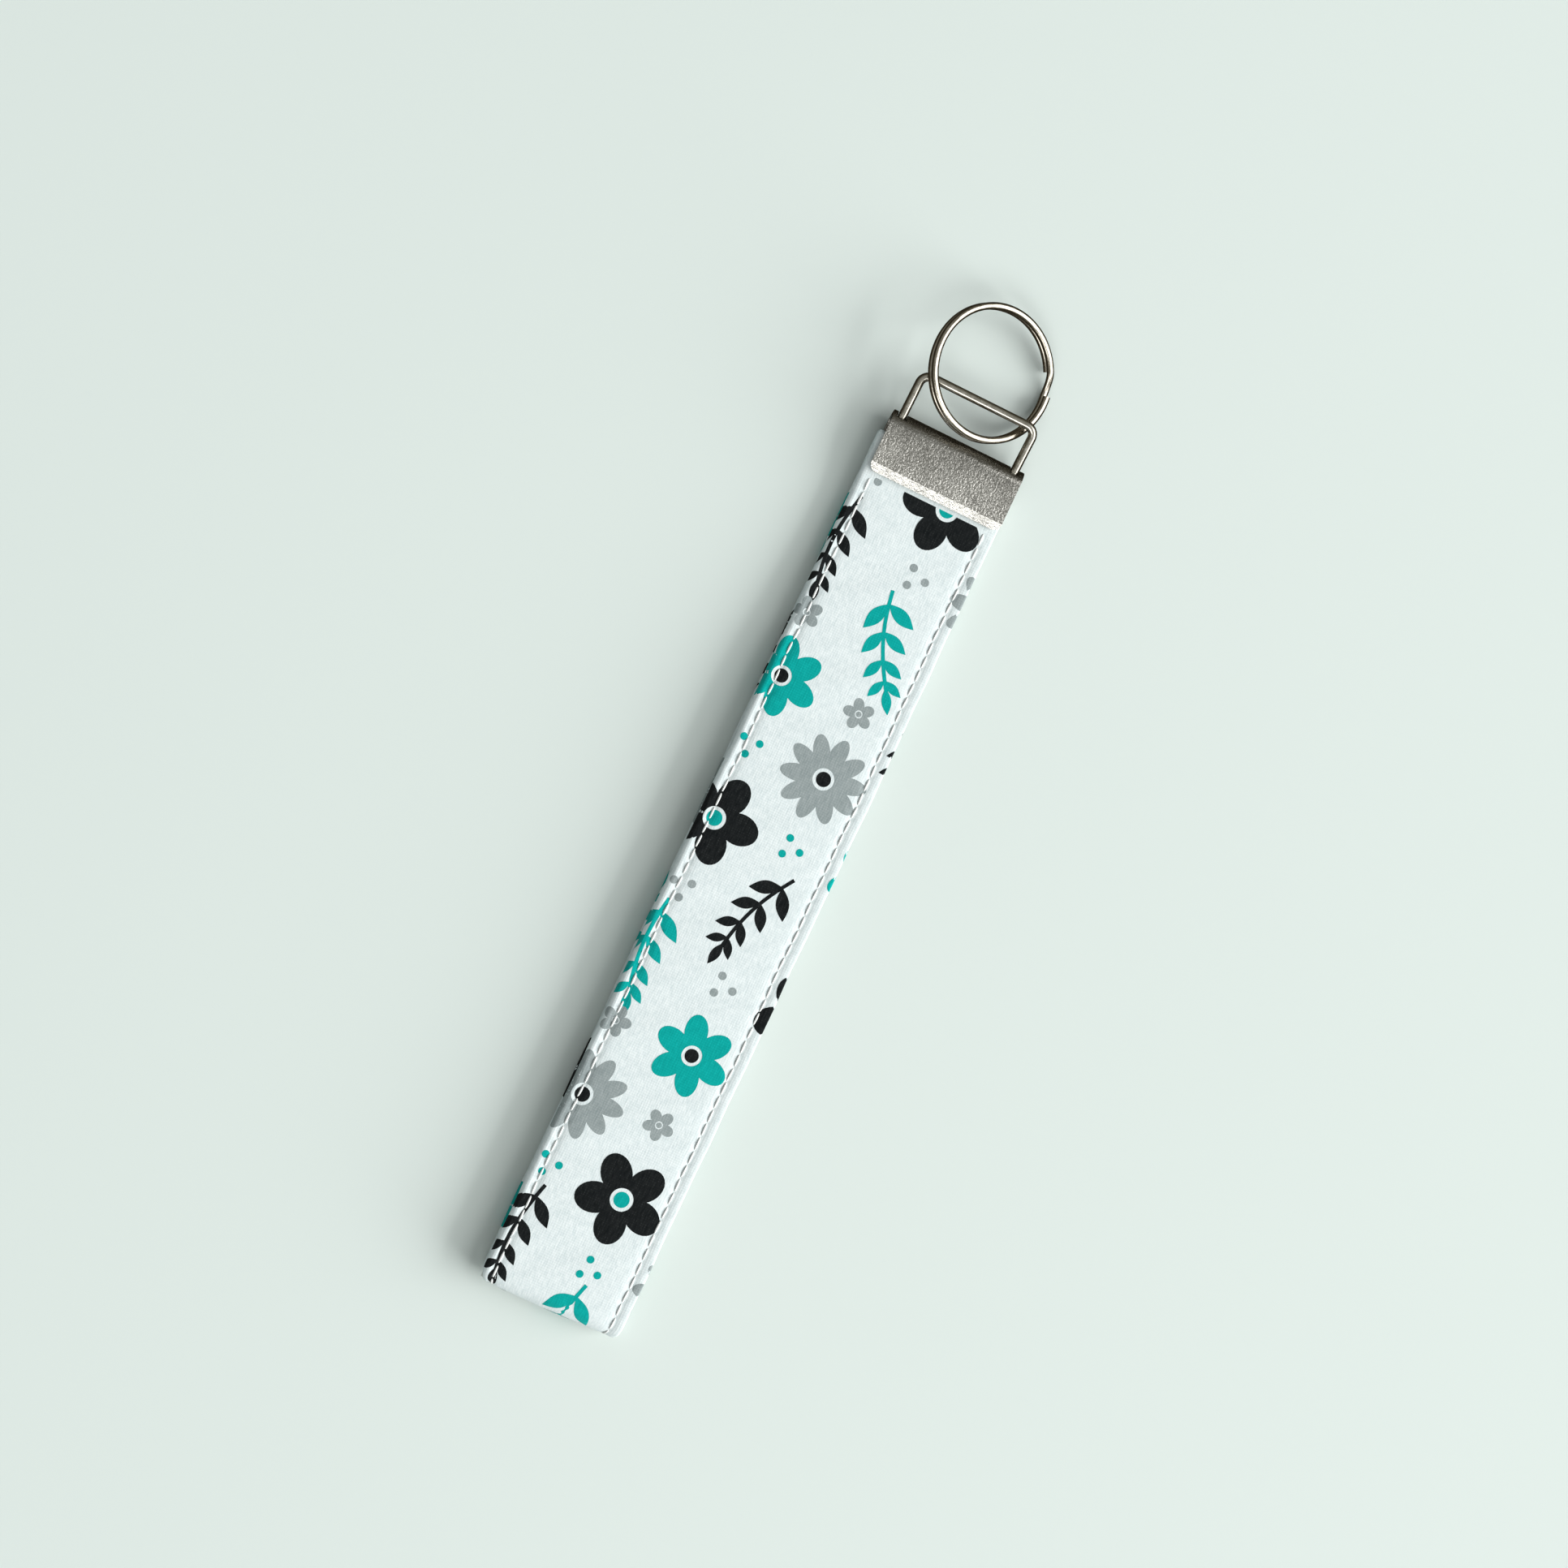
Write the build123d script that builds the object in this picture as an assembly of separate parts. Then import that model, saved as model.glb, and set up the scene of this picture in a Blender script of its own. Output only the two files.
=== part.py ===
"""Wristlet key fob: a printed cotton strap doubled into a loop, with a clamp, a bail and a split ring.

Units are millimetres. The fob lies flat: +Y runs from the strap's folded end to the split ring, +X is to
the right and +Z is up. The model is built with the bail's hinge axis over Y = 0, then moved so that the
origin is at the bottom centre of its bounding box.
"""
from build123d import *
import os
from math import cos, radians, sin, sqrt

# ---- Clamp: one strip of steel folded over the strap's two ends ------------------------------------------
CLAMP_WIDTH = 26.0
CLAMP_DEPTH = 12.0
CLAMP_HEIGHT = 5.4
SHEET_THICKNESS = 0.8
LIP_RUN = 1.5
LIP_BITE = 0.5
LIP_CORNER_RADIUS = 1.5
TOOTH_COUNT = 9
TOOTH_WIDTH = 1.3
TOOTH_HEIGHT = 0.3
TOOTH_RUN = 0.9
SLOT_CLEARANCE = 0.2

# ---- Bail: a rectangular wire loop hinged in the clamp's fold --------------------------------------------
END_TAB_WIDTH = 0.775
BAIL_REACH = 10.6
BAIL_WIRE_WIDTH = 1.55
BAIL_WIRE_HEIGHT = 2.1
BAIL_INNER_RADIUS = 1.05
BAIL_WIRE_ROUNDING = 0.7
BAIL_BUTT_GAP = 0.4
BAIL_TILT = 15.0
BAIL_SWING = 35.0

# ---- Split ring: two turns of flat wire, with a crossover where one turn steps over to the other ---------
RING_DIAMETER = 25.0
RING_WIRE_WIDTH = 1.3
RING_WIRE_HEIGHT = 1.15
RING_WIRE_ROUNDING = 0.5
RING_COIL_GAP = 0.05
RING_CROSSOVER_ANGLE = 22.0
RING_CROSSOVER_AT = 14.0
RING_CROSSOVER_STEPS = 6
RING_CENTRE_X = 0.12
RING_TO_FOLD = 0.9
RING_ROLL = 19.8
RING_PITCH = -3.0
RING_TURN = 4.5
RING_SWING_BACK = 0.78
RING_SWING_UP = 0.48

# ---- Strap: cotton folded in four round a strip of interfacing, then doubled end to end ------------------
STRAP_OVERHANG = 1.0
STRAP_OFFSET = -0.5
STRAP_REACH = 159.0
STRAP_THICKNESS = 1.9
CLOTH_THICKNESS = 0.5
FOLD_GAP = 2.0
PINCH_GAP = 0.1
PINCH_RELEASE = 7.0
LOOP_EASE = 45.0
END_CLEARANCE = 0.6

# ---- Topstitching ----------------------------------------------------------------------------------------
STITCH_INSET = 2.1
THREAD_WIDTH = 0.5
THREAD_DEPTH = 0.25

HINGE_Z = CLAMP_HEIGHT / 2
FOLD_RADIUS = CLAMP_HEIGHT / 2
SLOT_WIDTH = BAIL_WIRE_WIDTH + 2 * SLOT_CLEARANCE
BAIL_SPAN = CLAMP_WIDTH - 2 * END_TAB_WIDTH - SLOT_WIDTH
BAIL_CORNER_RADIUS = BAIL_INNER_RADIUS + BAIL_WIRE_WIDTH
RING_PAST_BAR = RING_DIAMETER / 2 - (BAIL_REACH - FOLD_RADIUS - RING_TO_FOLD)
STRAP_WIDTH = CLAMP_WIDTH + STRAP_OVERHANG
LIP_Y = FOLD_RADIUS - CLAMP_DEPTH
LIP_BEND_Y = LIP_Y + LIP_RUN
JAW_HALF_GAP = CLAMP_HEIGHT / 2 - SHEET_THICKNESS
STRAP_END_Y = -sqrt(BAIL_WIRE_WIDTH**2 + BAIL_WIRE_HEIGHT**2) / 2 - END_CLEARANCE
FOLD_HEIGHT = 2 * STRAP_THICKNESS + FOLD_GAP
FOLD_CENTRE_Y = LIP_Y - STRAP_REACH + FOLD_HEIGHT / 2


def section_outline(half_height):
    """Closed outline in the YZ plane of the folded clamp sheet at a half height from its middle plane."""
    lip_half = half_height - LIP_BITE
    jaws = Polyline(
        (0, half_height),
        (LIP_BEND_Y, half_height),
        (LIP_Y, lip_half),
        (LIP_Y, -lip_half),
        (LIP_BEND_Y, -half_height),
        (0, -half_height),
    )
    fold = ThreePointArc((0, -half_height), (half_height, 0), (0, half_height))
    return make_face(jaws + fold)


def make_teeth():
    """Two rows of small teeth on the inside of the jaws, just behind the lips."""
    pitch = (CLAMP_WIDTH - 2 * LIP_CORNER_RADIUS) / TOOTH_COUNT
    profile = Plane.XZ * make_face(
        Polyline((-TOOTH_WIDTH / 2, 0), (TOOTH_WIDTH / 2, 0), (0, -TOOTH_HEIGHT), (-TOOTH_WIDTH / 2, 0))
    )
    tooth = extrude(profile, amount=TOOTH_RUN, dir=(0, 1, 0))
    teeth = []
    for index in range(TOOTH_COUNT):
        x = (index - (TOOTH_COUNT - 1) / 2) * pitch
        upper = Pos(x, LIP_BEND_Y, JAW_HALF_GAP) * tooth
        teeth += [upper, upper.mirror(Plane.XY)]
    return teeth


def make_slot():
    """The space that a leg of the bail sweeps through between its two limits, with clearance all round."""
    half = BAIL_WIRE_HEIGHT / 2 + SLOT_CLEARANCE
    run = 2 * FOLD_RADIUS
    limit = radians(BAIL_SWING)
    near_y = -half * sin(limit)
    near_z = half * cos(limit)
    far_y = near_y + run * cos(limit)
    far_z = near_z + run * sin(limit)
    corners = [(near_y, near_z), (far_y, far_z), (far_y, -far_z), (near_y, -near_z)]
    outline = Plane.YZ * make_face(Polyline(*corners, close=True))
    return extrude(outline, amount=SLOT_WIDTH / 2, both=True)


def make_clamp():
    """Folded sheet with rounded lip corners, inner teeth and a slot at each end of the fold for the bail."""
    section = Plane.YZ * (section_outline(FOLD_RADIUS) - section_outline(JAW_HALF_GAP))
    sheet = extrude(section, amount=CLAMP_WIDTH / 2, both=True)
    plan = Pos(0, FOLD_RADIUS - CLAMP_DEPTH / 2) * Rectangle(CLAMP_WIDTH, CLAMP_DEPTH)
    lip_corners = plan.vertices().group_by(Axis.Y)[0]
    plan = fillet(lip_corners, LIP_CORNER_RADIUS)
    sheet = sheet & extrude(plan, amount=CLAMP_HEIGHT, both=True)
    for side in (-1, 1):
        sheet = sheet - Pos(side * BAIL_SPAN / 2, 0, 0) * make_slot()
    for tooth in make_teeth():
        sheet = sheet + tooth
    return Pos(0, 0, HINGE_Z) * sheet


def make_bail():
    """Rounded rectangular wire loop, its two wire ends meeting in the bar inside the clamp's fold."""
    middle_y = BAIL_REACH / 2
    outer = Pos(0, middle_y) * RectangleRounded(
        BAIL_SPAN + BAIL_WIRE_WIDTH, BAIL_REACH + BAIL_WIRE_WIDTH, BAIL_CORNER_RADIUS
    )
    inner = Pos(0, middle_y) * RectangleRounded(
        BAIL_SPAN - BAIL_WIRE_WIDTH, BAIL_REACH - BAIL_WIRE_WIDTH, BAIL_INNER_RADIUS
    )
    loop = extrude(outer - inner, amount=BAIL_WIRE_HEIGHT / 2, both=True)
    rims = loop.edges().group_by(Axis.Z)
    loop = fillet(rims[0] + rims[-1], BAIL_WIRE_ROUNDING)
    loop = loop - Box(BAIL_BUTT_GAP, 2 * BAIL_WIRE_WIDTH, 2 * BAIL_WIRE_HEIGHT)
    return Pos(0, 0, HINGE_Z) * Rot(X=BAIL_TILT) * loop


def ring_section(angle, height):
    """The ring wire's rounded section, standing at an angle round the ring and at a height."""
    radius = (RING_DIAMETER - RING_WIRE_WIDTH) / 2
    across = Plane(origin=(radius, 0, height), x_dir=(1, 0, 0), z_dir=(0, 1, 0))
    section = across * RectangleRounded(RING_WIRE_WIDTH, RING_WIRE_HEIGHT, RING_WIRE_ROUNDING)
    return Rot(Z=angle) * section


def make_split_ring():
    """Two flat turns joined by one smooth crossover, with a cut wire end on each side of it."""
    level = (RING_WIRE_HEIGHT + RING_COIL_GAP) / 2
    start = RING_CROSSOVER_AT + RING_CROSSOVER_ANGLE / 2
    turn = 360 - RING_CROSSOVER_ANGLE
    lower = revolve(ring_section(start, -level), axis=Axis.Z, revolution_arc=turn)
    upper = revolve(ring_section(start, level), axis=Axis.Z, revolution_arc=turn)
    sections = []
    for index in range(RING_CROSSOVER_STEPS + 1):
        share = index / RING_CROSSOVER_STEPS
        rise = share * share * (3 - 2 * share)
        angle = RING_CROSSOVER_AT + (share - 0.5) * RING_CROSSOVER_ANGLE
        sections.append(ring_section(angle, level * (2 * rise - 1)))
    return lower + loft(sections) + upper


def ring_place():
    """Where the ring lies: over the bail's bar on the left and under its corner on the right."""
    bar_y = BAIL_REACH * cos(radians(BAIL_TILT))
    bar_z = HINGE_Z + BAIL_REACH * sin(radians(BAIL_TILT))
    at_bar = Pos(RING_CENTRE_X, bar_y, bar_z)
    return at_bar * Rot(X=RING_PITCH) * Rot(Y=RING_ROLL) * Rot(Z=RING_TURN) * Pos(0, RING_PAST_BAR, 0)


def loop_curve(depth):
    """Open curve in the YZ plane at a depth under the strap's outer face, from one end round to the other.

    Inside the jaws the strap is pressed thinner, so the depth shrinks with it.
    """
    jaw_thickness = JAW_HALF_GAP - PINCH_GAP / 2
    lip_thickness = jaw_thickness - LIP_BITE
    jaw = JAW_HALF_GAP - depth * jaw_thickness / STRAP_THICKNESS
    lip = JAW_HALF_GAP - LIP_BITE - depth * lip_thickness / STRAP_THICKNESS
    radius = FOLD_HEIGHT / 2 - depth
    free_y = LIP_Y - PINCH_RELEASE
    free_z = STRAP_THICKNESS + PINCH_GAP / 2
    ease_y = free_y - LOOP_EASE
    fold_z = FOLD_HEIGHT / 2
    upper_jaw = Polyline((STRAP_END_Y, HINGE_Z + jaw), (LIP_BEND_Y, HINGE_Z + jaw), (LIP_Y, HINGE_Z + lip))
    free = free_z - depth
    upper = Spline((LIP_Y, HINGE_Z + lip), (free_y, free_z + free), tangents=[(-1, 0), (-1, 0)])
    ease = Spline((free_y, free_z + free), (ease_y, fold_z + radius), tangents=[(-1, 0), (-1, 0)])
    upper_run = Line((ease_y, fold_z + radius), (FOLD_CENTRE_Y, fold_z + radius))
    fold = ThreePointArc(
        (FOLD_CENTRE_Y, fold_z + radius), (FOLD_CENTRE_Y - radius, fold_z), (FOLD_CENTRE_Y, fold_z - radius)
    )
    lower_run = Line((FOLD_CENTRE_Y, fold_z - radius), (free_y, fold_z - radius))
    lower = Spline((free_y, fold_z - radius), (LIP_Y, HINGE_Z - lip), tangents=[(1, 0), (1, 0)])
    lower_jaw = Polyline((LIP_Y, HINGE_Z - lip), (LIP_BEND_Y, HINGE_Z - jaw), (STRAP_END_Y, HINGE_Z - jaw))
    return upper_jaw + upper + ease + upper_run + fold + lower_run + lower + lower_jaw


def loop_band(depth_from, depth_to, x_from, x_to):
    """Solid between two depths of the strap, the whole way round its loop, over a range of X."""
    near = loop_curve(depth_from)
    far = loop_curve(depth_to)
    ends = Line(near @ 0, far @ 0) + Line(near @ 1, far @ 1)
    profile = make_face((near + far + ends).edges())
    return Pos(x_from, 0, 0) * extrude(Plane.YZ * profile, amount=x_to - x_from)


def press_in_teeth(shape):
    """The cloth or thread with the dents that the clamp's teeth press into it."""
    for tooth in make_teeth():
        shape = shape - Pos(0, 0, HINGE_Z) * tooth
    return shape


def make_strap_parts():
    """The cloth, the interfacing inside it and the four threads of the two topstitched rows."""
    left = STRAP_OFFSET - STRAP_WIDTH / 2
    right = STRAP_OFFSET + STRAP_WIDTH / 2
    cloth = loop_band(0, STRAP_THICKNESS, left, right)
    core = loop_band(
        CLOTH_THICKNESS, STRAP_THICKNESS - CLOTH_THICKNESS, left + CLOTH_THICKNESS, right - CLOTH_THICKNESS
    )
    cloth = cloth - core
    parts = {"interfacing_strip": core}
    rows = {"left": left + STITCH_INSET, "right": right - STITCH_INSET}
    faces = {"needle": 0, "bobbin": STRAP_THICKNESS - THREAD_DEPTH}
    for side, x in rows.items():
        for face, depth in faces.items():
            thread = loop_band(depth, depth + THREAD_DEPTH, x - THREAD_WIDTH / 2, x + THREAD_WIDTH / 2)
            cloth = cloth - thread
            parts[face + "_thread_" + side] = thread
    parts["cotton_strip"] = cloth
    for name, shape in parts.items():
        if name != "interfacing_strip":
            parts[name] = press_in_teeth(shape)
    return parts


def main():
    os.makedirs("parts", exist_ok=True)
    parts = make_strap_parts()
    parts["clamp"] = make_clamp()
    parts["bail"] = make_bail()
    parts["split_ring"] = ring_place() * make_split_ring()
    box = Compound(list(parts.values())).bounding_box()
    to_origin = Pos(-box.center().X, -box.center().Y, -box.min.Z)
    bail_hinge = to_origin * Pos(0, 0, HINGE_Z)
    ring_hinge = bail_hinge * Rot(X=BAIL_TILT) * Pos(0, BAIL_REACH - RING_SWING_BACK, RING_SWING_UP)
    print("bail hinge at", bail_hinge.position, "along X")
    print("ring hinge at", ring_hinge.position, "along X")
    for name, shape in parts.items():
        export_step(to_origin * shape, "parts/" + name + ".step")


main()
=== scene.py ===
"""Looks of the wristlet key fob: printed cotton, topstitching and nickel-plated hardware.

Lengths are in millimetres until a mesh is made, and in metres after that. Print coordinates are (u, s).
u runs across the strap's face, from the right edge to the left fold, and on over the inner face. s runs along
the loop, from the clamp's upper lip, round the folded end and back to the lower lip.
"""
import math
import random

import bpy
import numpy as np
from mathutils import Matrix, Vector
from mathutils.geometry import delaunay_2d_cdt


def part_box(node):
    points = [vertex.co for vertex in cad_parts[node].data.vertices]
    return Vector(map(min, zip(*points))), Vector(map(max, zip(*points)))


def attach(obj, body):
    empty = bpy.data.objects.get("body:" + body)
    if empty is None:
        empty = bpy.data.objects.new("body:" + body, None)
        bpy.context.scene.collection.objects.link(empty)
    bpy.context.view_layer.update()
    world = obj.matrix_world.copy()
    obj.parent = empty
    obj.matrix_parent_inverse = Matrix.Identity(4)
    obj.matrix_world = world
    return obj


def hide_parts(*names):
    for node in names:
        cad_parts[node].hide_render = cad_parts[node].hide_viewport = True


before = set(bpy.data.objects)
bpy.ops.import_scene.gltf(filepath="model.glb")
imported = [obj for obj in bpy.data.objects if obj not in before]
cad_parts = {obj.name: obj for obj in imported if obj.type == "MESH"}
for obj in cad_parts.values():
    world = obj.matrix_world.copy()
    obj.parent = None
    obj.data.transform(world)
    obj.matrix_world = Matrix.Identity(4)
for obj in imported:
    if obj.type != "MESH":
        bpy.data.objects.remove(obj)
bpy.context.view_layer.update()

MM = 0.001

# ---- Camera: nearly overhead, turned so that the fob leans to the right --------------------------------
CAMERA_DISTANCE = 450.0
CAMERA_TARGET = (-1.4, 3.8, 0.0)
CAMERA_TILT = math.radians(6.5)
CAMERA_AZIMUTH = math.radians(195.0)
CAMERA_ROLL = math.radians(-25.46)
CAMERA_LENS = 57.56
CAMERA_SENSOR = 36.0

# ---- The strap as the frame has it ---------------------------------------------------------------------
strap_low, strap_high = (np.array(corner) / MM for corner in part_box("cotton_strip"))
clamp_low, clamp_high = (np.array(corner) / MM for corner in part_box("clamp"))
HALF_WIDTH = (strap_high[0] - strap_low[0]) / 2
STRAP_THICKNESS = 1.9
LAYER = 0.25
LAYER_GAP = 0.005
SHEET_THICKNESS = 0.8
LIP_RUN = 1.5
LIP_BITE = 0.5
PINCH_GAP = 0.1
PINCH_RELEASE = 7.0
LOOP_EASE = 45.0
HINGE_Z = clamp_high[2] / 2
LIP_Y = clamp_low[1]
LIP_BEND_Y = LIP_Y + LIP_RUN
END_Y = strap_high[1]
FOLD_MIDDLE = strap_high[2] / 2
FOLD_Y = strap_low[1] + FOLD_MIDDLE
STATION_STEP = 0.7
FOLD_STEPS = 26
FOLD_NARROWING = 0.06
FOLD_NARROWING_RUN = 2.4

# ---- Folded left edge and the tucked layers ------------------------------------------------------------
EDGE_RADIUS = STRAP_THICKNESS / 2
EDGE_X = -HALF_WIDTH + EDGE_RADIUS
EDGE_ARC = math.pi * EDGE_RADIUS
TURN_X = HALF_WIDTH - LAYER
TUCK_X = -10.5

# ---- Topstitching --------------------------------------------------------------------------------------
ROW_X = HALF_WIDTH - 2.1
STITCH_PITCH = 2.7
STITCH_LENGTH = 2.5
STITCH_RADIUS = 0.22
STITCH_DENT = 0.24
STITCH_DENT_WIDTH = 0.46
STITCH_START = 1.2
STITCH_LENGTHS = (0.94, 1.04)
STITCH_LEAN = 0.09
STITCH_DRIFT = 0.05
STITCH_SINK = 0.10
STITCH_RISE = 0.26
STITCH_END_SHARE = 0.55
STITCH_FLATNESS = 0.85

# ---- Unevenness of the sewn cloth: heights, and the lengths of the waves that make each one up ---------
PUFF = 0.13
SWELL_WAVES = (31.0, 17.0, 9.5)
PUCKER = 0.035
PUCKER_WIDTH = 2.4
PUCKER_WAVES = (5.3, 8.1, 3.7)
SWAY = 0.10
SWAY_WAVES = (47.0, 23.0, 13.0)
SWAY_EASE = 10
CLAMP_EASE = 6
PHASE_SPAN = 6.28

# ---- Print: a half-drop repeat -------------------------------------------------------------------------
PRINT_COLUMN = 15.0
PRINT_ROW = 27.0
PRINT_START = 4.0
PRINT_SCATTER = 0.9
PRINT_LEAN = 24
PETAL_SHARE = 0.84
DISC_SHARE = 0.25
EYE_SHARE = 0.17
SPRIG_BOW = 0.07
SPRIG_STEM = 0.035
SPRIG_LEAF = 0.34
SPRIG_TAPER = 0.16
SPRIG_ANGLE = 46
PRINT_LIFT = 0.03

UV_SPAN = 400.0
UV_ACROSS = 45.0
UV_ALONG = 10.0
UV_MARGIN = 2.0


# ---- Small helpers -------------------------------------------------------------------------------------
def make_object(name, points, faces, uvs=None, smooth=True):
    """A mesh object from points in millimetres, its faces and a UV for each point."""
    mesh = bpy.data.meshes.new(name)
    mesh.from_pydata((np.asarray(points) * MM).tolist(), [], faces)
    mesh.update()
    if uvs is not None:
        corner_points = np.zeros(len(mesh.loops), np.int32)
        mesh.loops.foreach_get("vertex_index", corner_points)
        layer = mesh.uv_layers.new(name="OFBake")
        layer.data.foreach_set("uv", np.asarray(uvs, np.float32)[corner_points].ravel())
    if smooth:
        mesh.shade_smooth()
    piece = bpy.data.objects.new(name, mesh)
    bpy.context.scene.collection.objects.link(piece)
    return piece


def smoothstep(value):
    share = np.clip(value, 0.0, 1.0)
    return share * share * (3 - 2 * share)


def make_camera():
    tilt = Vector(
        (math.sin(CAMERA_TILT) * math.cos(CAMERA_AZIMUTH), math.sin(CAMERA_TILT) * math.sin(CAMERA_AZIMUTH),
         math.cos(CAMERA_TILT))
    )
    forward = -tilt
    right = forward.cross(Vector((math.sin(CAMERA_ROLL), math.cos(CAMERA_ROLL), 0.0))).normalized()
    up = right.cross(forward)
    camera = bpy.data.objects.new("camera", bpy.data.cameras.new("camera"))
    camera.data.lens = CAMERA_LENS
    camera.data.sensor_width = CAMERA_SENSOR
    camera.data.clip_start = 0.01
    turn = Matrix((right, up, tilt)).transposed().to_4x4()
    spot = (Vector(CAMERA_TARGET) + tilt * CAMERA_DISTANCE) * MM
    camera.matrix_world = Matrix.Translation(spot) @ turn
    bpy.context.scene.collection.objects.link(camera)
    bpy.context.scene.camera = camera


# ---- The strap's path ----------------------------------------------------------------------------------
def run_of(start, end, eased):
    """Stations from start up to, but not at, end: straight, or an S that is level at both ends."""
    count = max(2, round(abs(end[0] - start[0]) / STATION_STEP))
    share = np.arange(count) / count
    rise = smoothstep(share) if eased else share
    return np.stack([start[0] + (end[0] - start[0]) * share, start[1] + (end[1] - start[1]) * rise], -1)


def loop_stations(depth):
    """Points (y, z) along the loop, end to end, at a depth under the strap's outer face."""
    jaw_half = HINGE_Z - SHEET_THICKNESS
    jaw_thickness = jaw_half - PINCH_GAP / 2
    jaw = jaw_half - depth * jaw_thickness / STRAP_THICKNESS
    lip = jaw_half - LIP_BITE - depth * (jaw_thickness - LIP_BITE) / STRAP_THICKNESS
    radius = FOLD_MIDDLE - depth
    free_y = LIP_Y - PINCH_RELEASE
    free_z = 2 * STRAP_THICKNESS + PINCH_GAP - depth
    knots = [
        (END_Y, HINGE_Z + jaw, False),
        (LIP_BEND_Y, HINGE_Z + jaw, False),
        (LIP_Y, HINGE_Z + lip, True),
        (free_y, free_z, True),
        (free_y - LOOP_EASE, FOLD_MIDDLE + radius, False),
        (FOLD_Y, FOLD_MIDDLE + radius, False),
    ]
    back = [
        (FOLD_Y, FOLD_MIDDLE - radius, False),
        (free_y, FOLD_MIDDLE - radius, True),
        (LIP_Y, HINGE_Z - lip, False),
        (LIP_BEND_Y, HINGE_Z - jaw, False),
        (END_Y, HINGE_Z - jaw, False),
    ]
    pieces = [run_of(near[:2], far[:2], near[2]) for near, far in zip(knots, knots[1:])]
    turn = np.arange(FOLD_STEPS) / FOLD_STEPS * math.pi
    pieces.append(np.stack([FOLD_Y - radius * np.sin(turn), FOLD_MIDDLE + radius * np.cos(turn)], -1))
    pieces += [run_of(near[:2], far[:2], near[2]) for near, far in zip(back, back[1:])]
    pieces.append(np.array([back[-1][:2]]))
    return np.concatenate(pieces)


OUTER = loop_stations(0.0)
INNER = loop_stations(STRAP_THICKNESS)
along = np.concatenate([[0.0], np.cumsum(np.hypot(*np.diff(OUTER, axis=0).T))])
LIP_S = np.interp(-LIP_Y, -OUTER[: len(OUTER) // 3, 0], along[: len(OUTER) // 3])
STATIONS = along - LIP_S
LOOP_LENGTH = STATIONS[-1] - LIP_S
FOLD_S = LOOP_LENGTH / 2


def waves(values, lengths, seed):
    """Smooth unevenness between about -1 and 1: a few sines of the given wavelengths with seeded phases."""
    phases = random.Random(seed)
    total = sum(np.sin(values * 2 * math.pi / length + phases.uniform(0, PHASE_SPAN)) for length in lengths)
    return total / len(lengths)


def surface_dip(x, s):
    """How far the face lies under its plane: dents along the stitch rows, soft swelling between."""
    from_row = (np.abs(x) - ROW_X) / STITCH_DENT_WIDTH
    beat = 0.75 + 0.25 * np.cos(2 * math.pi * s / STITCH_PITCH)
    dent = STITCH_DENT * np.exp(-from_row**2 / 2) * beat
    inside = np.clip(1 - (x / ROW_X) ** 2, 0, 1)
    uneven = 1 + 0.5 * waves(s + 0.7 * x, SWELL_WAVES, 4)
    resting = smoothstep((s - FOLD_S - 3) / 4)
    swelling = PUFF * np.sqrt(inside) * uneven * (1 - resting)
    beside_row = np.exp(-((np.abs(x) - ROW_X) / PUCKER_WIDTH) ** 2)
    pucker = PUCKER * waves(s + 0.25 * x, PUCKER_WAVES, 9) * beside_row
    freedom = smoothstep(s / CLAMP_EASE) * smoothstep((LOOP_LENGTH - s) / CLAMP_EASE)
    return (dent - swelling + pucker * (1 - resting)) * freedom


def pressed(x, s, depth):
    """Depth of a point once the strap's faces are dented or swollen. Only the outermost layers give way."""
    soft = 2 * LAYER
    dip = surface_dip(x, s)
    near = np.clip(1 - depth / soft, 0, 1)
    far = np.clip(1 - (STRAP_THICKNESS - depth) / soft, 0, 1)
    return depth + dip * near - dip * far


def sway(s):
    """Slight sideways unevenness of the sewn strap."""
    freedom = smoothstep(s / SWAY_EASE) * smoothstep((LOOP_LENGTH - s) / SWAY_EASE)
    return SWAY * waves(s, SWAY_WAVES, 2) * freedom


def drawn_in(s):
    """How much narrower the strap is where it turns at the folded end, which rounds its corners."""
    return 1 - FOLD_NARROWING * np.exp(-((s - FOLD_S) / FOLD_NARROWING_RUN) ** 2)


def place(x, depth, s):
    """Points in space of a place in the strap's cross-section, at a station along the loop."""
    share = depth / STRAP_THICKNESS
    outer_y = np.interp(s, STATIONS, OUTER[:, 0])
    outer_z = np.interp(s, STATIONS, OUTER[:, 1])
    inner_y = np.interp(s, STATIONS, INNER[:, 0])
    inner_z = np.interp(s, STATIONS, INNER[:, 1])
    y = outer_y + (inner_y - outer_y) * share
    z = outer_z + (inner_z - outer_z) * share
    return np.stack([x * drawn_in(s) + sway(s), y, z], -1)


def on_face(u, s, lift):
    """Points in space at print coordinates, lifted off the cloth. Both edges are round."""
    u, s = np.broadcast_arrays(np.asarray(u, float), np.asarray(s, float))
    past = np.clip((EDGE_X - u) / EDGE_RADIUS, 0, math.pi)
    turn = np.clip((u - TURN_X) / LAYER, 0, math.pi)
    beyond = np.clip(EDGE_X - EDGE_ARC - u, 0, None)
    flat_x = np.clip(u, EDGE_X, TURN_X)
    x = flat_x - EDGE_RADIUS * np.sin(past) + LAYER * np.sin(turn) + beyond
    depth = EDGE_RADIUS * (1 - np.cos(past)) + LAYER * (1 - np.cos(turn))
    depth = pressed(x, s, depth)
    away = np.cos(past) * np.cos(turn)
    return place(x + (np.sin(turn) - np.sin(past)) * lift, depth - away * lift, s)


def inner_u(x):
    """Print coordinate u of a place on the inner face."""
    return 2 * EDGE_X - EDGE_ARC - x


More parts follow.
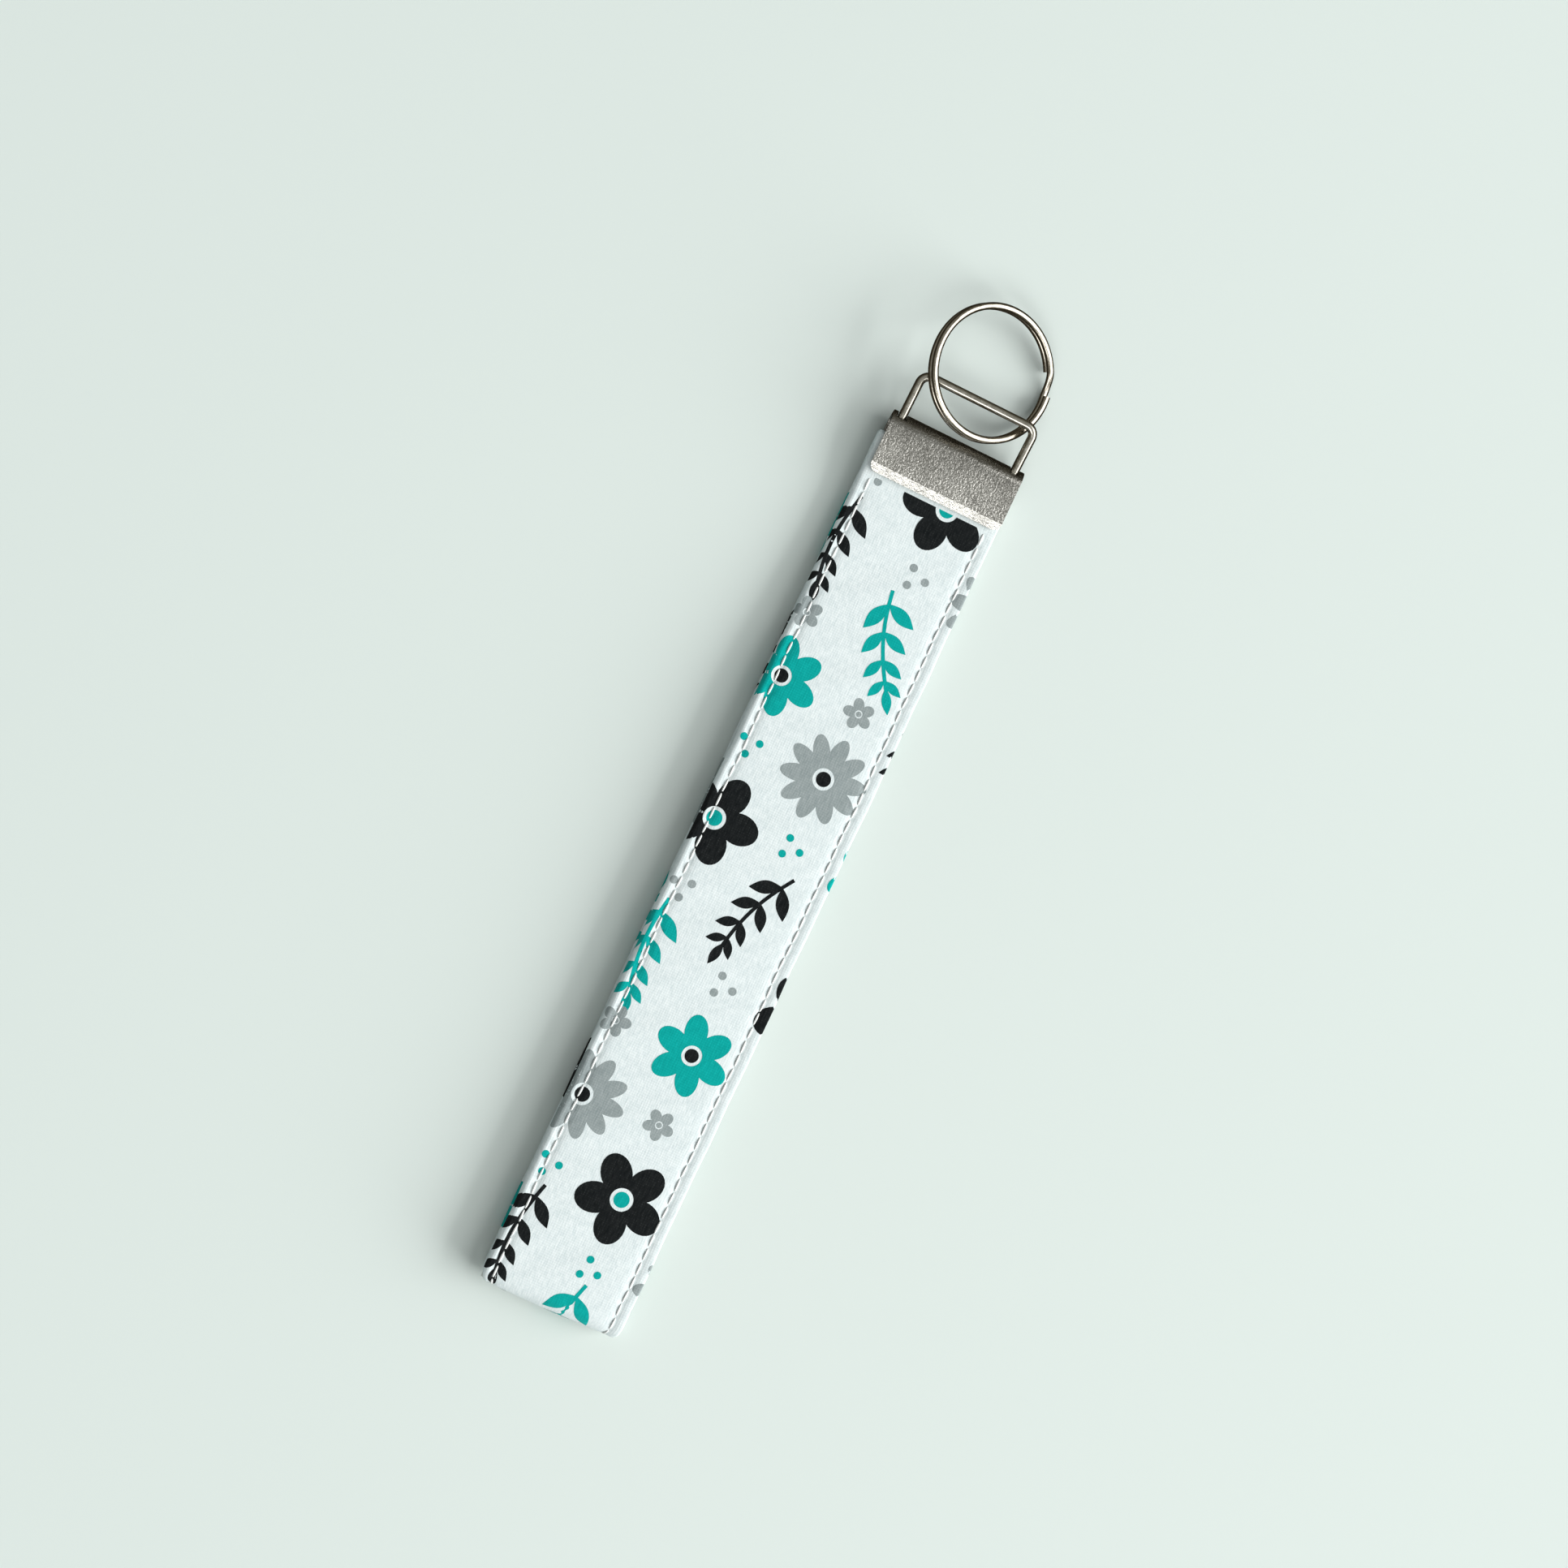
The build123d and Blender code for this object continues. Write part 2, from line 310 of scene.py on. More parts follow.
# ---- Cotton strip --------------------------------------------------------------------------------------
def columns():
    """Places across the strap where the cloth has points: even, and closer beside the stitch rows."""
    beside = np.array([-1.1, -0.75, -0.5, -0.25, 0, 0.25, 0.5, 0.75, 1.1])
    even = np.linspace(EDGE_X, TURN_X, 28)
    even = even[np.abs(np.abs(even) - ROW_X) > 1.3]
    return np.unique(np.concatenate([even, -ROW_X + beside, ROW_X + beside, [EDGE_X, TURN_X]]))


def arc_points(centre, radius, start, end, count):
    """Points (x, depth) round an arc. Angle 0 points to the outer face and 90 degrees to the right edge."""
    angle = np.radians(np.linspace(start, end, count))
    return np.stack([centre[0] + radius * np.sin(angle), centre[1] - radius * np.cos(angle)], -1)


def level(depth, xs):
    return np.stack([xs, np.full(len(xs), depth)], -1)


def cotton_outline():
    """Closed outline (x, depth) of the cotton's thickness: round at the left edge, tucked in at the right."""
    across = columns()
    thickness = STRAP_THICKNESS
    inside = np.linspace(EDGE_X, TURN_X - LAYER / 2, 7)
    tuck = np.linspace(TUCK_X, TURN_X - LAYER / 2, 4)
    middle = (EDGE_X, thickness / 2)
    skin = LAYER - LAYER_GAP
    tucked = LAYER + LAYER_GAP
    return np.concatenate([
        level(0, across[::-1]),
        arc_points(middle, EDGE_RADIUS, 0, -180, 15)[1:-1],
        level(thickness, across),
        arc_points((TURN_X, thickness - LAYER), LAYER, 180, 0, 7)[1:-1],
        level(thickness - 2 * LAYER, tuck[::-1]),
        level(thickness - tucked, tuck),
        level(thickness - skin, inside[::-1]),
        arc_points(middle, EDGE_RADIUS - skin, -180, 0, 10)[1:-1],
        level(skin, inside),
        level(tucked, tuck[::-1]),
        level(2 * LAYER, tuck),
        arc_points((TURN_X, LAYER), LAYER, 180, 0, 7)[1:-1],
    ])


def make_cotton():
    outline = cotton_outline()
    count = len(outline)
    rings = len(STATIONS)
    x = np.tile(outline[:, 0], (rings, 1))
    s = np.tile(STATIONS[:, None], (1, count))
    depth = pressed(x, s, np.tile(outline[:, 1], (rings, 1)))
    points = place(x, depth, s).reshape(-1, 3)
    around = np.concatenate([[0.0], np.cumsum(np.hypot(*np.diff(outline, axis=0).T))])
    uvs = np.stack([np.tile(around, (rings, 1)), s + LIP_S + UV_MARGIN], -1).reshape(-1, 2) / UV_SPAN
    faces = []
    for ring in range(rings - 1):
        base = ring * count
        for corner in range(count):
            following = (corner + 1) % count
            faces.append((base + corner, base + following, base + count + following, base + count + corner))
    faces.append(tuple(range(count))[::-1])
    faces.append(tuple((rings - 1) * count + corner for corner in range(count)))
    return make_object("cotton_folded", points, faces, uvs)


# ---- Outlines of the print -----------------------------------------------------------------------------
def turned(shape, degrees):
    angle = math.radians(degrees)
    cos, sin = math.cos(angle), math.sin(angle)
    return np.asarray(shape, float) @ np.array([[cos, sin], [-sin, cos]])


def oval(centre, half_u, half_s, count=28):
    """An ellipse, or a circle where both halves are the same."""
    angle = np.arange(count) / count * 2 * math.pi
    return np.stack([half_u * np.cos(angle), half_s * np.sin(angle)], -1) + np.array(centre)


def leaf(tail, tip, width, steps=11):
    """A plain leaf, pointed at both ends."""
    tail, tip = np.array(tail, float), np.array(tip, float)
    share = np.linspace(0, 1, steps)
    run = tip - tail
    side = np.array([-run[1], run[0]]) / np.hypot(*run) * width / 2
    line = tail + share[:, None] * run
    half = np.sin(math.pi * share)[:, None] * side
    return np.concatenate([line + half, (line - half)[-2:0:-1]])


def band(line, width):
    """A band of even width along a line of points."""
    run = np.gradient(line, axis=0)
    side = np.stack([-run[:, 1], run[:, 0]], -1) / np.hypot(*run.T)[:, None] * width / 2
    return np.concatenate([line + side, (line - side)[::-1]])


# ---- Motifs: each gives (outline, ink) pairs about its own middle, laid one over another ---------------
def flower(radius, petals, plumpness, ink, centre_ink):
    """A plain flower of oval petals round a disc. Plumpness is a petal's width over its length."""
    length = radius * PETAL_SHARE
    petal = oval((radius - length / 2, 0), length / 2, length / 2 * plumpness)
    shapes = [(turned(petal, 360 / petals * index), ink) for index in range(petals)]
    shapes.append((oval((0, 0), radius * DISC_SHARE, radius * DISC_SHARE), "white"))
    shapes.append((oval((0, 0), radius * EYE_SHARE, radius * EYE_SHARE), centre_ink))
    return shapes


def sprig(length, ink):
    """A bowed stem with pairs of plain leaves that get smaller towards the one at its tip."""
    share = np.linspace(0, 1, 17)
    stem = np.stack([length * (share - 0.5), length * SPRIG_BOW * np.sin(math.pi * share)], -1)
    shapes = [(band(stem, length * SPRIG_STEM), ink)]
    for joint in (2, 6, 10, 13):
        reach = length * (SPRIG_LEAF - SPRIG_TAPER * share[joint])
        for side in (-1, 1):
            tip = stem[joint] + turned((reach, 0), side * SPRIG_ANGLE)
            shapes.append((leaf(stem[joint], tip, reach * 0.4), ink))
    shapes.append((leaf(stem[-3], stem[-1] + np.array([length * 0.12, 0]), length * 0.09), ink))
    return shapes


def dots(reach, size, ink):
    """Three dots in a triangle."""
    return [(turned(oval((reach, 0), size, size, 16), 120 * index), ink) for index in range(3)]


def print_motifs():
    """A plain half-drop repeat over the whole cloth: large motifs by turns, and a small one in each gap."""
    large = [
        flower(8.4, 5, 0.80, "black", "teal"),
        sprig(20.0, "teal"),
        flower(8.0, 10, 0.46, "grey", "black"),
        sprig(19.0, "black"),
        flower(7.4, 6, 0.68, "teal", "black"),
    ]
    small = [dots(1.9, 0.75, "grey"), flower(2.9, 5, 0.8, "grey", "grey"), dots(1.8, 0.7, "teal")]
    scatter = random.Random(12)
    shapes = []
    for column in range(-3, 2):
        for row in range(-1, math.ceil(LOOP_LENGTH / PRINT_ROW) + 1):
            u = PRINT_START + column * PRINT_COLUMN + scatter.uniform(-PRINT_SCATTER, PRINT_SCATTER)
            s = (row + 0.5 * (column % 2)) * PRINT_ROW + scatter.uniform(-PRINT_SCATTER, PRINT_SCATTER)
            for motifs, spot, turn in (
                (large, (u, s), 90 + scatter.uniform(-PRINT_LEAN, PRINT_LEAN)),
                (small, (u, s + PRINT_ROW / 2), scatter.uniform(0, 360)),
            ):
                motif = motifs[(row + 2 * column) % len(motifs)]
                shapes += [(turned(outline, turn) + np.array(spot), ink) for outline, ink in motif]
    return shapes


def inside_outline(points, outline):
    """Which points an outline goes round, by its winding number."""
    winding = np.zeros(len(points), int)
    following = np.roll(outline, -1, axis=0)
    for start, end in zip(outline, following):
        run = end - start
        side = run[0] * (points[:, 1] - start[1]) - (points[:, 0] - start[0]) * run[1]
        winding += (start[1] <= points[:, 1]) & (end[1] > points[:, 1]) & (side > 0)
        winding -= (start[1] > points[:, 1]) & (end[1] <= points[:, 1]) & (side < 0)
    return winding != 0


def print_triangles(shapes, u_lines, s_lines):
    """Triangles over a rectangle of cloth that follow every outline, and the ink of each triangle."""
    low = np.array([u_lines[0], s_lines[0]])
    high = np.array([u_lines[-1], s_lines[-1]])
    border = np.array([low, (high[0], low[1]), high, (low[0], high[1])])
    kept = [(outline, ink) for outline, ink in shapes
            if not ((outline.max(0) < low).any() or (outline.min(0) > high).any())]
    points = [np.stack(np.meshgrid(u_lines, s_lines), -1).reshape(-1, 2)]
    edges = []
    count = len(points[0])
    for outline in [border] + [outline for outline, _ in kept]:
        points.append(outline)
        edges += [(count + index, count + (index + 1) % len(outline)) for index in range(len(outline))]
        count += len(outline)
    places = [Vector(point) for point in np.concatenate(points).tolist()]
    made = delaunay_2d_cdt(places, edges, [], 0, 1e-5)
    vertices = np.array([tuple(vertex) for vertex in made[0]])
    triangles = np.array([face for face in made[2] if len(face) == 3], int)
    middles = vertices[triangles].mean(1)
    on_patch = ((middles > low) & (middles < high)).all(1)
    triangles, middles = triangles[on_patch], middles[on_patch]
    inks = np.full(len(triangles), "white", dtype="<U5")
    for outline, ink in kept:
        reach = ((middles > outline.min(0)) & (middles < outline.max(0))).all(1)
        hits = np.flatnonzero(reach)
        inks[hits[inside_outline(middles[hits], outline)]] = ink
    return vertices, triangles, inks


def make_print():
    """The three inks as thin layers on the cotton, one piece each, over the outer face and the inner face."""
    motifs = print_motifs()
    outer_u = np.concatenate([
        EDGE_X - EDGE_ARC * np.linspace(1, 0, 13)[:-1],
        columns(),
        TURN_X + LAYER * math.pi / 2 * np.array([1, 2, 3]) / 3,
    ])
    face_s = STATIONS[(STATIONS > 0.2) & (STATIONS < LOOP_LENGTH - 0.2)]
    layers = {"black": ([], [], 0), "teal": ([], [], 0), "grey": ([], [], 0)}
    for u_lines, s_lines in ((outer_u, face_s), (inner_u(columns()[::-1]), face_s[::2])):
        vertices, triangles, inks = print_triangles(motifs, u_lines, s_lines)
        for ink in layers:
            chosen = triangles[inks == ink]
            used, numbers = np.unique(chosen, return_inverse=True)
            coordinates, faces, count = layers[ink]
            coordinates.append(vertices[used])
            faces.append(numbers.reshape(-1, 3) + count)
            layers[ink] = (coordinates, faces, count + len(used))
    pieces = {}
    for ink, (coordinates, faces, _) in layers.items():
        flat = np.concatenate(coordinates)
        points = on_face(flat[:, 0], flat[:, 1], PRINT_LIFT)
        uvs = (flat + (UV_ACROSS, UV_ALONG)) / UV_SPAN
        corners = np.concatenate(faces)
        pieces[ink] = make_object("print_" + ink, points, [tuple(face) for face in corners.tolist()], uvs)
    return pieces


# ---- Topstitching --------------------------------------------------------------------------------------
def make_stitches(name, row_x, inner_face, seed):
    """One row of separate stitches, each a short round thread that dips into the cloth at both ends."""
    scatter = random.Random(seed)
    rings, sides = 9, 8
    angle = np.arange(sides) / sides * 2 * math.pi
    share = np.linspace(0, 1, rings)
    arch = np.sin(math.pi * share) ** 0.7
    points, faces = [], []
    s = STITCH_START
    while s < LOOP_LENGTH - STITCH_LENGTH:
        length = STITCH_LENGTH * scatter.uniform(*STITCH_LENGTHS)
        lean = scatter.uniform(-STITCH_LEAN, STITCH_LEAN)
        drift = scatter.uniform(-STITCH_DRIFT, STITCH_DRIFT)
        at = s + length * share
        x = row_x + drift + lean * (share - 0.5)
        u = inner_u(x) if inner_face else x
        lift = -STITCH_SINK + STITCH_RISE * arch
        radius = STITCH_RADIUS * (STITCH_END_SHARE + (1 - STITCH_END_SHARE) * arch)
        base = len(points) * sides
        for ring in range(rings):
            across = radius[ring] * np.cos(angle)
            above = lift[ring] + radius[ring] * STITCH_FLATNESS * np.sin(angle)
            spot = on_face(np.full(sides, u[ring]) + across, np.full(sides, at[ring]), 0.0)
            higher = on_face(np.full(sides, u[ring]), np.full(sides, at[ring]), 1.0)
            middle = on_face(np.full(sides, u[ring]), np.full(sides, at[ring]), 0.0)
            up = higher - middle
            level_spot = spot - up * np.sum((spot - middle) * up, axis=1)[:, None]
            points.append(level_spot + up * above[:, None])
        for ring in range(rings - 1):
            low = base + ring * sides
            for side in range(sides):
                after = (side + 1) % sides
                faces.append((low + side, low + after, low + sides + after, low + sides + side))
        faces.append(tuple(base + side for side in range(sides))[::-1])
        faces.append(tuple(base + (rings - 1) * sides + side for side in range(sides)))
        s += STITCH_PITCH
    return make_object(name, np.concatenate(points), faces)


# ---- Materials -----------------------------------------------------------------------------------------
class Nodes:
    """A material's node tree, with short calls for what the materials here need."""

    def __init__(self, name):
        self.material = bpy.data.materials.new(name)
        self.material.use_nodes = True
        self.tree = self.material.node_tree
        self.shader = self.tree.nodes["Principled BSDF"]

    def add(self, kind, **settings):
        node = self.tree.nodes.new(kind)
        for key, value in settings.items():
            setattr(node, key, value)
        return node

    def join(self, output, socket):
        self.tree.links.new(output, socket)

    def place(self, kind, scale, turn=0.0):
        """Texture coordinates of a kind, scaled and turned."""
        source = self.add("ShaderNodeTexCoord")
        mapping = self.add("ShaderNodeMapping")
        mapping.inputs["Scale"].default_value = scale
        mapping.inputs["Rotation"].default_value = (0, 0, turn)
        self.join(source.outputs[kind], mapping.inputs["Vector"])
        return mapping.outputs["Vector"]

    def noise(self, vector, scale, detail=3.0, roughness=0.55):
        node = self.add("ShaderNodeTexNoise")
        node.inputs["Scale"].default_value = scale
        node.inputs["Detail"].default_value = detail
        node.inputs["Roughness"].default_value = roughness
        self.join(vector, node.inputs["Vector"])
        return node.outputs["Fac"]

    def ramp(self, value, low, high, start, end):
        """Maps a value from one range to another, held at both ends."""
        node = self.add("ShaderNodeMapRange")
        for socket, number in zip(("From Min", "From Max", "To Min", "To Max"), (low, high, start, end)):
            node.inputs[socket].default_value = number
        self.join(value, node.inputs["Value"])
        return node.outputs["Result"]

    def math(self, operation, first, second):
        node = self.add("ShaderNodeMath", operation=operation)
        for socket, value in zip(node.inputs, (first, second)):
            if isinstance(value, (int, float)):
                socket.default_value = value
            else:
                self.join(value, socket)
        return node.outputs[0]

    def colours(self, share, first, second):
        node = self.add("ShaderNodeMix", data_type="RGBA")
        node.inputs["A"].default_value = (*first, 1)
        node.inputs["B"].default_value = (*second, 1)
        self.join(share, node.inputs["Factor"])
        return node.outputs["Result"]

    def bump(self, height, distance, strength=1.0):
        node = self.add("ShaderNodeBump")
        node.inputs["Strength"].default_value = strength
        node.inputs["Distance"].default_value = distance
        self.join(height, node.inputs["Height"])
        return node.outputs["Normal"]

    def set(self, **values):
        for key, value in values.items():
            self.shader.inputs[key.replace("_", " ")].default_value = value

    def wave(self, vector, period, direction, distortion):
        node = self.add("ShaderNodeTexWave", wave_type="BANDS", bands_direction=direction, wave_profile="SIN")
        node.inputs["Scale"].default_value = 2 * math.pi / (20 * period)
        node.inputs["Distortion"].default_value = distortion
        node.inputs["Detail"].default_value = 1.0
        node.inputs["Detail Scale"].default_value = 0.6
        self.join(vector, node.inputs["Vector"])
        return node.outputs["Fac"]


THREAD_PITCH = 0.44
WEAVE_DEPTH = 0.00005


def woven(name, dark, light, worn=None):
    """Plain-weave cotton: crossing threads, slubs that catch the light along the diagonal, and a soft nap."""
    nodes = Nodes(name)
    flat = nodes.place("UV", (UV_SPAN, UV_SPAN, 1))
    warp = nodes.wave(flat, THREAD_PITCH, "X", 0.5)
    weft = nodes.wave(flat, THREAD_PITCH, "Y", 0.5)
    weave = nodes.math("MULTIPLY", nodes.math("ADD", warp, weft), 0.5)
    diagonal = nodes.place("UV", (UV_SPAN, UV_SPAN * 0.3, 1), turn=math.radians(38))
    slub = nodes.noise(diagonal, 2.4, detail=3.0, roughness=0.7)
    blotch = nodes.noise(flat, 0.35, detail=4.0)
    grain = nodes.math("ADD", nodes.math("MULTIPLY", slub, 0.75), nodes.math("MULTIPLY", blotch, 0.25))
    share = nodes.ramp(grain, 0.38, 0.62, 0.0, 1.0)
    colour = nodes.colours(share, dark, light)
    if worn is not None:
        threads = nodes.ramp(nodes.math("MULTIPLY", weave, slub), 0.40, 0.62, 0.0, 0.35)
        mix = nodes.add("ShaderNodeMix", data_type="RGBA")
        mix.inputs["B"].default_value = (*worn, 1)
        nodes.join(threads, mix.inputs["Factor"])
        nodes.join(colour, mix.inputs["A"])
        colour = mix.outputs["Result"]
    nodes.join(colour, nodes.shader.inputs["Base Color"])
    height = nodes.math("ADD", weave, slub)
    nodes.join(nodes.bump(height, WEAVE_DEPTH, 0.4), nodes.shader.inputs["Normal"])
    nodes.join(nodes.ramp(slub, 0.3, 0.7, 0.92, 0.78), nodes.shader.inputs["Roughness"])
    nodes.set(Sheen_Weight=0.04, Sheen_Roughness=0.5, Specular_IOR_Level=0.2)
    return nodes.material


def sewing_thread():
    """White polyester thread: two plies twisted together, with a little shine."""
    nodes = Nodes("sewing_thread_white")
    vector = nodes.place("Object", (1000, 1000, 1000), turn=math.radians(32))
    twist = nodes.wave(vector, 0.32, "Y", 0.3)
    # Painted shade: the colour follows the twist, darker in the grooves between the plies and lighter on
    # their crowns.
    colour = nodes.colours(twist, (0.84, 0.88, 0.87), (0.97, 0.98, 0.97))
    nodes.join(colour, nodes.shader.inputs["Base Color"])
    nodes.join(nodes.bump(twist, 0.00004, 0.8), nodes.shader.inputs["Normal"])
    nodes.set(Roughness=0.5, Sheen_Weight=0.2)
    return nodes.material


def interfacing():
    """Bonded fibre: pale, matt and irregular."""
    nodes = Nodes("interfacing_felt")
    vector = nodes.place("Object", (1000, 1000, 1000))
    fibres = nodes.noise(vector, 3.0, detail=6.0, roughness=0.75)
    colour = nodes.colours(fibres, (0.58, 0.60, 0.59), (0.82, 0.84, 0.83))
    nodes.join(colour, nodes.shader.inputs["Base Color"])
    nodes.join(nodes.bump(fibres, 0.0001, 0.8), nodes.shader.inputs["Normal"])
    nodes.set(Roughness=0.95)
    return nodes.material


def satin_nickel():
    """The clamp's tumbled nickel plate: mottled and finely pitted, with painted light at the lip and painted
    shade that darkens it towards the fold.
    """
    nodes = Nodes("nickel_satin")
    vector = nodes.place("Object", (1000, 1000, 1000))
    pits = nodes.noise(vector, 3.1, detail=2.0, roughness=0.6)
    brushed = nodes.place("Object", (2200, 900, 1400), turn=math.radians(28))
    scratches = nodes.noise(brushed, 0.9, detail=3.0, roughness=0.65)
    clouds = nodes.noise(vector, 0.22, detail=3.0)
    tone = nodes.math("ADD", nodes.math("MULTIPLY", pits, 0.55), nodes.math("MULTIPLY", clouds, 0.45))
    split = nodes.add("ShaderNodeSeparateXYZ")
    nodes.join(vector, split.inputs["Vector"])
    # Painted light and shade: the colour is lightest at the lip and fades to dark towards the top of the
    # fold.
    painted_lip_to_fold_shade = nodes.ramp(split.outputs["Y"], LIP_BEND_Y, clamp_high[1], 1.15, 0.0)
    painted_lip_to_fold_shade = nodes.math("POWER", painted_lip_to_fold_shade, 0.6)
    share = nodes.math("MULTIPLY", nodes.ramp(tone, 0.38, 0.62, 0.40, 1.0), painted_lip_to_fold_shade)
    colour = nodes.colours(share, (0.20, 0.195, 0.178), (0.93, 0.925, 0.885))
    nodes.join(colour, nodes.shader.inputs["Base Color"])
    nodes.join(nodes.ramp(pits, 0.35, 0.65, 0.14, 0.30), nodes.shader.inputs["Roughness"])
    height = nodes.math("ADD", pits, nodes.math("MULTIPLY", scratches, 0.9))
    nodes.join(nodes.bump(height, 0.00007, 1.0), nodes.shader.inputs["Normal"])
    nodes.set(Metallic=1.0)
    return nodes.material


def bright_nickel(name, dark, light, roughness):
    """Polished nickel wire: smooth, with a faint grain and warmer, darker patches here and there."""
    nodes = Nodes(name)
    vector = nodes.place("Object", (1000, 1000, 1000))
    wear = nodes.noise(vector, 0.9, detail=4.0, roughness=0.65)
    grain = nodes.noise(vector, 6.0, detail=3.0, roughness=0.7)
    colour = nodes.colours(nodes.ramp(wear, 0.35, 0.65, 0.0, 1.0), dark, light)
    nodes.join(colour, nodes.shader.inputs["Base Color"])
    nodes.join(nodes.ramp(wear, 0.3, 0.7, roughness, roughness + 0.12), nodes.shader.inputs["Roughness"])
    nodes.join(nodes.bump(grain, 0.00002, 0.5), nodes.shader.inputs["Normal"])
    nodes.set(Metallic=1.0)
    return nodes.material


def backdrop_paper():
    nodes = Nodes("backdrop_pale")
    vector = nodes.place("Object", (1, 1, 1))
    mottle = nodes.noise(vector, 6.0, detail=2.0)
    nodes.join(nodes.colours(mottle, FLOOR_COLOUR, FLOOR_COLOUR_LIGHT), nodes.shader.inputs["Base Color"])
    nodes.set(Roughness=0.9, Specular_IOR_Level=0.2)
    return nodes.material


def finish_with(piece, material):
    """Gives a piece, or a CAD node, this one material in all its slots."""
    if not piece.data.materials:
        piece.data.materials.append(material)
    for index in range(len(piece.data.materials)):
        piece.data.materials[index] = material


def soften_edges(piece, width):
    """Rounds the sharp edges that plating and tumbling leave rounded."""
    weld = piece.modifiers.new("weld", "WELD")
    weld.merge_threshold = 0.000002
    bevel = piece.modifiers.new("soft_edges", "BEVEL")
    bevel.width = width * MM
    bevel.segments = 3
    bevel.limit_method = "ANGLE"
    bevel.angle_limit = math.radians(35)
    bevel.harden_normals = False
    bevel.use_clamp_overlap = True


# ---- Stage and light -----------------------------------------------------------------------------------
FLOOR_COLOUR = (0.755, 0.835, 0.805)
FLOOR_COLOUR_LIGHT = (0.765, 0.845, 0.815)
FLOOR_HALF_SIZE = 3000.0
FLOOR_DROP = 0.05
LIGHT_DISTANCE = 5000.0
LIGHT_COLOUR = (1.0, 0.995, 0.98)


def make_floor():
    half = FLOOR_HALF_SIZE
    corners = [(-half, -half, -FLOOR_DROP), (half, -half, -FLOOR_DROP), (half, half, -FLOOR_DROP),
               (-half, half, -FLOOR_DROP)]
    floor = make_object("backdrop", corners, [(0, 1, 2, 3)], smooth=False)
    finish_with(floor, backdrop_paper())
    floor.visible_glossy = False  # keeps the floor out of the reflections in the metal


def softbox(name, azimuth, elevation, half_across, half_up, radiance, mirrored=True):
    """A far soft area light that looks at the fob, sized by its half angles as the fob sees it.

    Azimuth 0 is +X and 90 is +Y. A light that isn't mirrored lights cloth and paper but no polished metal.
    """
    width = 2 * LIGHT_DISTANCE * MM * math.tan(math.radians(half_across))
    height = 2 * LIGHT_DISTANCE * MM * math.tan(math.radians(half_up))
    light = bpy.data.lights.new(name, "AREA")
    light.shape = "RECTANGLE"
    light.size = width
    light.size_y = height
    light.energy = radiance * math.pi * width * height
    light.color = LIGHT_COLOUR
    lamp = bpy.data.objects.new(name, light)
    angle, rise = math.radians(azimuth), math.radians(elevation)
    away = Vector((math.cos(angle) * math.cos(rise), math.sin(angle) * math.cos(rise), math.sin(rise)))
    lamp.location = away * LIGHT_DISTANCE * MM
    lamp.rotation_mode = "QUATERNION"
    lamp.rotation_quaternion = (-away).to_track_quat("-Z", "Y")
    lamp.visible_camera = False
    lamp.visible_glossy = mirrored
    bpy.context.scene.collection.objects.link(lamp)


